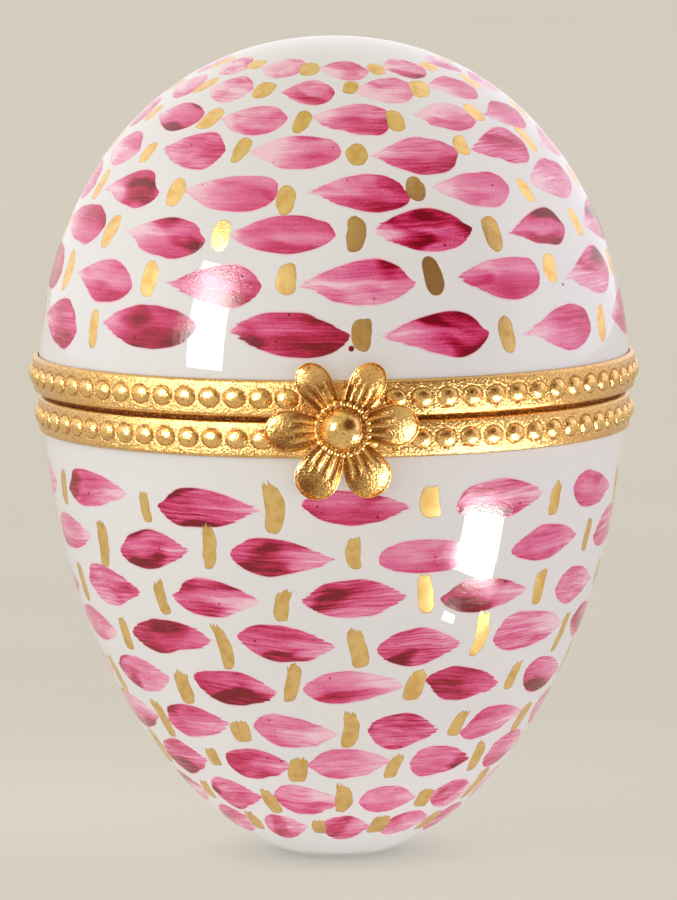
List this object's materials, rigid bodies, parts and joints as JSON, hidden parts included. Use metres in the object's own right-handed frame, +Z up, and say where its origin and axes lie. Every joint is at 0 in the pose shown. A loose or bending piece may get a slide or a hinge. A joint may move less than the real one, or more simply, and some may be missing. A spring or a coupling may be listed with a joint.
{
  "type": "egg trinket box",
  "caption": "Hinged egg-shaped trinket box of painted porcelain with beaded gilt rims and a cast flower thumb piece, standing upright on a small flat spot.",
  "frame": {"origin": "middle of the flat spot underneath, on the egg's axis", "axes": "+Z up along the egg's axis; -Y is the front, where the flower is; +Y is the back, where the hinge is; +X to the right seen from the front"},
  "size_m": [0.0476, 0.0526, 0.0639],
  "materials": {
    "porcelain": "clear glossy glaze over white porcelain, painted with raspberry strokes and gold dabs",
    "gilt": "polished gold plate over cast and stamped brass"
  },
  "bodies": {
    "bowl": {"porcelain_bowl": "porcelain", "bowl_band": "gilt", "hinge_knuckle_left": "gilt", "hinge_knuckle_right": "gilt", "hinge_pin": "gilt"},
    "lid": {"porcelain_dome": "porcelain", "lid_band": "gilt", "hinge_knuckle_middle": "gilt", "flower_clasp": "gilt"}
  },
  "joints": [
    {"name": "lid_hinge", "type": "hinge", "parent": "bowl", "child": "lid", "pos_m": [0, 0.02492, 0.0364], "axis": [-1, 0, 0], "range_deg": [0, 100]}
  ]
}
